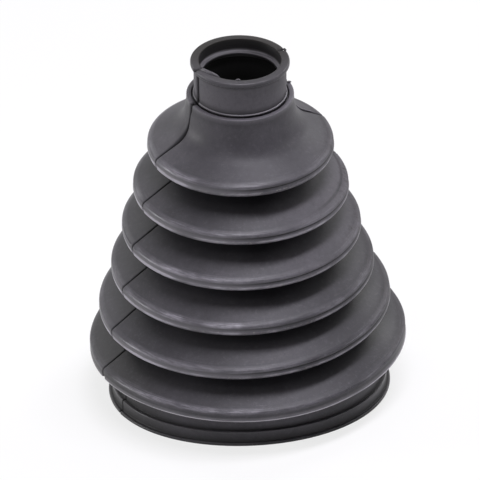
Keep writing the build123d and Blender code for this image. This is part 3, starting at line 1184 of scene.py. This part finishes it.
# %% Layers
LAYERS = (  # mask, strength and colour, from the lowest layer up
    # bloom, with painted light on the neck, the cuff and the right of the middle folds
    ("bloom_and_painted_light", 1.0, (0.088, 0.083, 0.093)),
    # painted shade on the lower folds at the far left
    ("painted_shade_foot", 0.7, (0.02, 0.019, 0.0195)),
    # mottle, stronger as painted light on the right and the far left
    ("light_mottle", 1.0, (0.17, 0.163, 0.178)),
    ("dark_mottle", 0.25, (0.022, 0.021, 0.023)),
    ("brown_dust", 1.0, (0.024, 0.0195, 0.0175)),
    # painted shade over the whole inside
    ("inside", 0.95, (0.007, 0.0065, 0.0065)),
    # painted shade deep in the grooves
    ("deep_shade", 0.85, (0.013, 0.0122, 0.0145)),
    # painted shade in hollow corners
    ("hollow_shade", 0.75, (0.02, 0.019, 0.02)),
    ("scuffs", 1.0, (0.16, 0.153, 0.17)),
    # painted light on the upright faces at the front left
    ("painted_light_face", 1.0, (0.125, 0.12, 0.13)),
    # wear on edges, with painted highlights along the folds and their lower edges
    ("wear_and_highlight", 1.0, (0.36, 0.345, 0.38)),
    ("specks", 1.3, (0.33, 0.315, 0.3)),
    # a thin line of painted shade on the fifth fold
    ("painted_shade_ring", 0.6, (0.012, 0.012, 0.012)),
    # painted shade in the creases, most on the right
    ("crease", 1.0, (0.006, 0.006, 0.006)),
    # painted highlight lines on edges
    ("painted_highlight_lines", 1.0, (0.5, 0.48, 0.51)),
    # painted shade further down the bore
    ("down_bore", 0.9, (0.002, 0.002, 0.002)),
    ("pits", 0.4, (0.015, 0.015, 0.015)),
    # painted shade along the parting lines
    ("parting_line_shade", 0.97, (0.004, 0.004, 0.004)),
    ("rim_top", 1.0, (0.014, 0.0122, 0.0115)),
)
ROUGHENING = {
    "dusty": 0.25,
    "rim_top": 0.15,
    "inside": 0.15,
    "bloom_and_painted_light": 0.1,
    "edge": -0.18,
    "scuffs": 0.1,
    "unlit": 0.4,
}
print("Layers over the clean rubber:", ", ".join(label for label, _, _ in LAYERS))

# %% [markdown]
# One function makes both materials, since flash is the same rubber with more wear, painted
# lighter as painted light so that the thin scraps don't go black in their own shade. The grain is
# a bump, as it is much too fine for the mesh.

# %% Rubber
CLEAN_RUBBER, LIGHTENED_FLASH = (0.033, 0.0313, 0.0362, 1), (0.06, 0.058, 0.063, 1)
SPECULAR, GRAIN_STRENGTH, GRAIN_DEPTH = 0.27, 0.18, 0.0002


def blended(tree, share, colour, other):
    """A colour that turns into another one as the share goes from nought to one."""
    node = add(tree, "ShaderNodeMix", {0: share, 6: colour, 7: other}, data_type="RGBA")
    return Wire(tree, node.outputs[2])


def rubber_material(name, clean, wear_amount, roughness):
    """Moulded rubber with bloom, scuffs, worn edges and dark parting lines."""
    material, tree, out = new_material(name)
    skin = Skin(tree)
    masks = {**dry_masks(skin), **rubbed_masks(skin, wear_amount), **dark_masks(skin)}
    colour, rough = clean, roughness
    for label, strength, paint in LAYERS:
        colour = blended(tree, masks[label] * strength, colour, (*paint, 1))
    for label, change in ROUGHENING.items():
        rough = masks[label] * change + rough
    bump = {"Height": skin.masked(grain_group, "Height")}
    bump.update({"Strength": GRAIN_STRENGTH, "Distance": GRAIN_DEPTH})
    looks = {"Base Color": colour, "Roughness": rough, "Specular IOR Level": SPECULAR}
    looks["Normal"] = wire(tree, "ShaderNodeBump", bump)
    give_out(out, name, Surface=wire(tree, "ShaderNodeBsdfPrincipled", looks))
    return material


moulded_rubber = rubber_material("moulded_rubber", CLEAN_RUBBER, wear_amount=0.75, roughness=0.45)

# %% [markdown]
# ## Making the boot
# A tree is run by a modifier on an object. The evaluated result is then copied out as a plain
# mesh and the modifier is taken away, so that what is left is an ordinary object that any tool
# can read.

# %% The boot
def make_piece(name, start, tree, **values):
    """Runs a tree on a mesh and keeps the result as a plain mesh object."""
    piece = bpy.data.objects.new(name, start)
    bpy.context.scene.collection.objects.link(piece)
    modifier = piece.modifiers.new("tree", "NODES")
    modifier.node_group = tree
    for socket in tree.interface.items_tree:
        if socket.in_out == "INPUT" and socket.name in values:
            modifier[socket.identifier] = values[socket.name]
    depsgraph = bpy.context.evaluated_depsgraph_get()
    mesh = bpy.data.meshes.new_from_object(piece.evaluated_get(depsgraph), depsgraph=depsgraph)
    piece.modifiers.clear()
    piece.data = mesh
    mesh.name = name
    print(name, "has", sum(len(polygon.vertices) - 2 for polygon in mesh.polygons), "triangles")
    return piece


boot = make_piece("boot_body", section_mesh, lathe, Rubber=moulded_rubber)
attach(boot, "root")
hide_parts("bellows_boot")

# %% [markdown]
# ## Scraps of moulding flash
# Where the halves of the mould met, a little rubber was squeezed out and left on: a loose curl on
# the rim, tabs on the rim and the collar, and thin ridges on the parting line. Each is a short
# path that is swept with a flattened section and thinned towards its ends. They could be modelled
# by hand, but six small scraps that differ only in their path and size are what a tree with named
# inputs is for.

# %% Flash tree
# The scraps carry a faint painted highlight all over.
FLASH_MARKS = {"outside": 1.0, "worn": 0.6, "seam": 9.0, "gap": 0.2, "painted_highlight": 0.12}
POINTS_ALONG, POINTS_ROUND = 40, 10
FULL_SIZE = (0, 0.2, 0.75, 1)  # shares of its path where a scrap swells, and where it thins again
THINNEST = 0.12

flash_tree, given, result = new_tree(
    "Flash",
    "GeometryNodeTree",
    {
        "Path": "Geometry",
        "Thickness": 0.3,
        "Flatness": 2.5,
        "Twist": 0.0,
        "Raggedness": 0.25,
        "Seed": 1.0,
        "Rubber": "Material",
    },
    {"Flash": "Geometry"},
)
curve = wire(flash_tree, "GeometryNodeMeshToCurve", {"Mesh": given["Path"]})
curve = {"Curve": curve}
curve = wire(flash_tree, "GeometryNodeCurveSplineType", curve, spline_type="CATMULL_ROM")
curve = wire(flash_tree, "GeometryNodeResampleCurve", {"Curve": curve, "Count": POINTS_ALONG})
position = wire(flash_tree, "GeometryNodeInputPosition")
ragged = slow_noise(flash_tree, position, given["Seed"], 1.4, detail=3.0)
ragged = ragged * given["Raggedness"] + 1
swelling = wire(flash_tree, "GeometryNodeSplineParameter").within(*FULL_SIZE)
size = (swelling * ragged).maths("MAXIMUM", THINNEST)
curve = wire(flash_tree, "GeometryNodeSetCurveRadius", {"Curve": curve, "Radius": size})
curve = wire(flash_tree, "GeometryNodeSetCurveTilt", {"Curve": curve, "Tilt": given["Twist"]})
circle = {"Resolution": POINTS_ROUND, "Radius": given["Thickness"]}
ring = wire(flash_tree, "GeometryNodeCurvePrimitiveCircle", circle, mode="RADIUS")
flattened = {"Geometry": ring, "Scale": joined(flash_tree, given["Flatness"], 1.0, 1.0)}
ring = wire(flash_tree, "GeometryNodeTransform", flattened)
sweep = {"Curve": curve, "Profile Curve": ring, "Fill Caps": True}
sweep["Scale"] = wire(flash_tree, "GeometryNodeInputRadius")
swept = wire(flash_tree, "GeometryNodeCurveToMesh", sweep)
swept = stored(flash_tree, swept, "straight", position, "FLOAT_VECTOR")
for label, value in FLASH_MARKS.items():
    swept = stored(flash_tree, swept, label, value)
swept = stood(flash_tree, swept, position)
give_out(result, "Flash tree", Flash=ended(flash_tree, swept, given["Rubber"]))

# %% [markdown]
# A path is given on the straight boot, by the turn in degrees, the radius and the height of each
# of its points, so that it lands on the standing boot as everything else does. The two ridges
# follow the outline of the skin, which is looked up in the section.

# %% The scraps
flash_rubber = rubber_material("flash_rubber", LIGHTENED_FLASH, wear_amount=1.0, roughness=0.42)


def scrap(name, path, thickness, flatness, twist=0.0, raggedness=0.3, seed=1.0):
    """A scrap of flash along a path of (turn in degrees, radius, height) on the straight boot."""
    turns = [radians(turn) for turn, _, _ in path]
    points = [(far * cos(turn), far * sin(turn), z) for turn, (_, far, z) in zip(turns, path)]
    values = {"Thickness": thickness, "Flatness": flatness, "Twist": twist}
    values.update({"Raggedness": raggedness, "Seed": seed, "Rubber": flash_rubber})
    piece = make_piece(name, line_mesh(name, points), flash_tree, **values)
    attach(piece, "root")


def along_skin(turn, top, bottom, steps=8):
    """A path down the outside of the skin at one turn, from one height to another."""
    ahead, path = np.roll(line, -1, 0), []
    for height in np.linspace(top, bottom, steps):
        crossed = (heights - height) * (ahead[:, 1] - height) < 0
        share = (height - heights[crossed]) / (ahead[crossed, 1] - heights[crossed])
        radius = (radii[crossed] + share * (ahead[crossed, 0] - radii[crossed])).max()
        path.append((turn, float(radius), float(height)))
    return path


rim_curl = [(205, 13.6, 118.0), (212, 13.0, 118.25), (222, 12.5, 118.2)]
rim_curl += [(232, 12.0, 117.8), (240, 11.7, 117.3)]
rim_nick = [(262, 12.6, 117.9), (266, 12.3, 118.15), (270, 12.5, 118.0)]
rim_tab = [(26, 14.7, 117.8), (24, 15.1, 117.7), (22, 15.3, 117.4)]
collar_tab = [(23, 15.9, 106.1), (20, 16.1, 106.6), (17, 16.2, 106.7)]
ridge = {"thickness": 0.2, "flatness": 1.6, "twist": radians(90)}  # it stands on its edge
scrap("rim_curl", rim_curl, thickness=0.22, flatness=2.6, twist=radians(60))
scrap("rim_nick", rim_nick, thickness=0.16, flatness=2.0)
scrap("rim_tab", rim_tab, thickness=0.3, flatness=1.6)
scrap("collar_tab", collar_tab, thickness=0.32, flatness=1.6)
scrap("bell_ridge", along_skin(25.3, top=98.5, bottom=91.6), **ridge, raggedness=0.5, seed=3.0)
scrap("fold_ridge", along_skin(24.7, top=78.9, bottom=76.2), **ridge, raggedness=0.6, seed=5.0)

# %% [markdown]
# ## Sizes
# A finish must not change a part's size. The box of what now stands for the part is printed.

# %% Sizes
low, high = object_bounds()
print("Boot as it stands, mm:", [round(side / MM, 1) for side in high - low])
